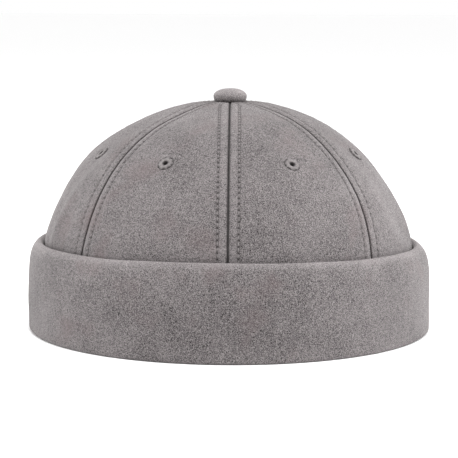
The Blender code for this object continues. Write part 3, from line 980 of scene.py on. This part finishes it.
def cloth_material():
    """Suede-like nap: fine grain, cloudy brushed patches, a faint pink cast here and there."""
    n = Nodes("napped_cloth")
    cloud = n.noise(34.0, 3.0, 0.55, 1.0)
    patch = n.noise(120.0, 4.0, 0.6, 2.0)
    fleck = n.noise(680.0, 3.0, 0.65, 3.0)
    grain = n.noise(2600.0, 1.0, 0.6, 4.0)
    swings = ((cloud, 0.50), (patch, 0.26), (fleck, 0.58), (grain, 2.60))
    tone = n.tone(*(n.spread(source, amount) for source, amount in swings))
    colour = n.mix(tone, NAP_DARK, NAP_LIGHT)
    pink = n.remap(n.noise(46.0, 2.0, 0.5, 5.0), 0.56, 0.74, 0.0, 0.45)
    colour = n.mix(pink, colour, NAP_PINK)
    shade = n.attribute("shade")
    # Below 0 the shade attribute paints a highlight on the nap, above 0 a painted shadow.
    painted_highlight = n.mix(tone, PAINTED_HIGHLIGHT_DARK, PAINTED_HIGHLIGHT_LIGHT)
    colour = n.mix(n.math("MULTIPLY", shade, -1.0, clamp=True), colour, painted_highlight)
    colour = n.mix(n.math("MULTIPLY", shade, 0.98, clamp=True), colour, SHADOW)
    n.shading(Base_Color=colour, Roughness=n.remap(patch, 0.3, 0.7, 0.86, 1.0), Specular_IOR_Level=0.25)
    n.shading(Sheen_Weight=0.16, Sheen_Roughness=0.45, Sheen_Tint=(1.0, 0.97, 0.96))
    height = n.math("ADD", n.math("MULTIPLY", fleck, 0.75), n.math("MULTIPLY", grain, 0.45))
    height = n.math("ADD", height, n.math("MULTIPLY", patch, 0.7))
    n.bump(height, 0.00048, 0.95)
    return n.material


def backing_material():
    """The cloth's plain woven back, seen only from inside."""
    n = Nodes("cloth_back")
    weave = n.math("MULTIPLY", n.wave("Z", 380.0, 1.5), n.wave("DIAGONAL", 300.0, 1.5))
    cloud = n.noise(60.0, 3.0, 0.5, 7.0)
    tone = n.math("ADD", n.spread(cloud, 0.8), 0.35)
    tone = n.math("ADD", n.math("MULTIPLY", weave, 0.2), tone, clamp=True)
    colour = n.mix(tone, BACK_DARK, BACK_LIGHT)
    colour = n.mix(n.math("MULTIPLY", n.attribute("shade"), 0.7), colour, SHADOW)
    n.shading(Base_Color=colour, Roughness=n.remap(cloud, 0.3, 0.7, 0.85, 0.98), Specular_IOR_Level=0.2)
    n.bump(weave, 0.0001, 0.3)
    return n.material


def thread_material():
    """Twisted sewing thread, a shade darker than the cloth."""
    n = Nodes("thread")
    fibre = n.noise(1500.0, 3.0, 0.7, 8.0)
    length = n.noise(300.0, 2.0, 0.5, 9.0)
    colour = n.mix(n.tone(n.spread(fibre, 1.8), n.spread(length, 0.5)), THREAD_DARK, THREAD_LIGHT)
    colour = n.mix(n.math("MULTIPLY", n.attribute("shade"), 0.85), colour, SHADOW)
    n.shading(Base_Color=colour, Roughness=n.remap(fibre, 0.3, 0.7, 0.62, 0.85), Specular_IOR_Level=0.35)
    n.shading(Sheen_Weight=0.2)
    n.bump(fibre, 0.0001, 0.6)
    return n.material


def post_material():
    """The plain moulded post that shows only inside the crown."""
    n = Nodes("plain_post")
    mould = n.noise(900.0, 2.0, 0.5, 11.0)
    colour = n.mix(mould, POST_DARK, POST_LIGHT)
    n.shading(Base_Color=colour, Roughness=n.remap(mould, 0.3, 0.7, 0.45, 0.62))
    n.bump(mould, 0.00005, 0.4)
    return n.material


def floor_material():
    n = Nodes("pale_floor")
    n.shading(Base_Color=FLOOR_COLOUR, Roughness=0.9, Specular_IOR_Level=0.1)
    return n.material


# The photo's camera, found from the ovals of the lip and base.
PHOTO_PIXELS = 458
FOCAL_PIXELS = 2001
SENSOR_MM = 36.0
CAMERA_DISTANCE = 0.9529
CAMERA_HEIGHT = 0.1605
CAMERA_ACROSS = -0.00025
CAMERA_PITCH = 6.83
CAMERA_ROLL = 0.27


def make_camera():
    data = bpy.data.cameras.new("photo_camera")
    data.sensor_width = SENSOR_MM
    data.lens = SENSOR_MM * FOCAL_PIXELS / PHOTO_PIXELS
    camera = bpy.data.objects.new("photo_camera", data)
    bpy.context.scene.collection.objects.link(camera)
    camera.location = (CAMERA_ACROSS, -CAMERA_DISTANCE, CAMERA_HEIGHT)
    tilt = Matrix.Rotation(math.radians(90.0 - CAMERA_PITCH), 3, "X")
    roll = Matrix.Rotation(math.radians(CAMERA_ROLL), 3, "Z")
    camera.rotation_euler = (tilt @ roll).to_euler()
    bpy.context.scene.camera = camera


# Soft boxes: name, place, size, power in watts. Each faces the middle of the crown.
SOFT_BOXES = (
    ("top_light", (0.10, -0.45, 1.55), 0.8, 20.0),
    ("left_light", (-1.45, 0.40, 0.50), 0.8, 9.0),
    ("right_light", (1.45, 0.10, 0.50), 0.8, 14.0),
)
LIGHT_TARGET = Vector((0.0, 0.0, 0.06))
FLOOR_SIZE = 24.0


def make_lights():
    for name, place, size, power in SOFT_BOXES:
        data = bpy.data.lights.new(name, "AREA")
        data.energy = power
        data.size = size
        light = bpy.data.objects.new(name, data)
        light.location = place
        light.rotation_euler = (LIGHT_TARGET - Vector(place)).to_track_quat("-Z", "Y").to_euler()
        bpy.context.scene.collection.objects.link(light)
    world = bpy.data.worlds.new("studio")
    bpy.context.scene.world = world
    world.use_nodes = True
    background = world.node_tree.nodes["Background"]
    background.inputs["Color"].default_value = (1.0, 1.0, 1.0, 1.0)
    background.inputs["Strength"].default_value = 1.0
    bpy.context.scene.view_settings.view_transform = "Standard"


def make_floor():
    bpy.ops.mesh.primitive_plane_add(size=FLOOR_SIZE)
    floor = bpy.context.object
    floor.name = "floor"
    floor.data.materials.append(floor_material())


def main():
    make_camera()
    make_lights()
    make_floor()
    cloth = cloth_material()
    thread = thread_material()
    make_panels(cloth, backing_material())
    make_eyelets(thread)
    make_topstitching(thread)
    make_cuff(cloth)
    make_button(cloth)
    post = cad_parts["button_post"]
    post_look = post_material()
    for slot in post.material_slots:
        slot.material = post_look


main()
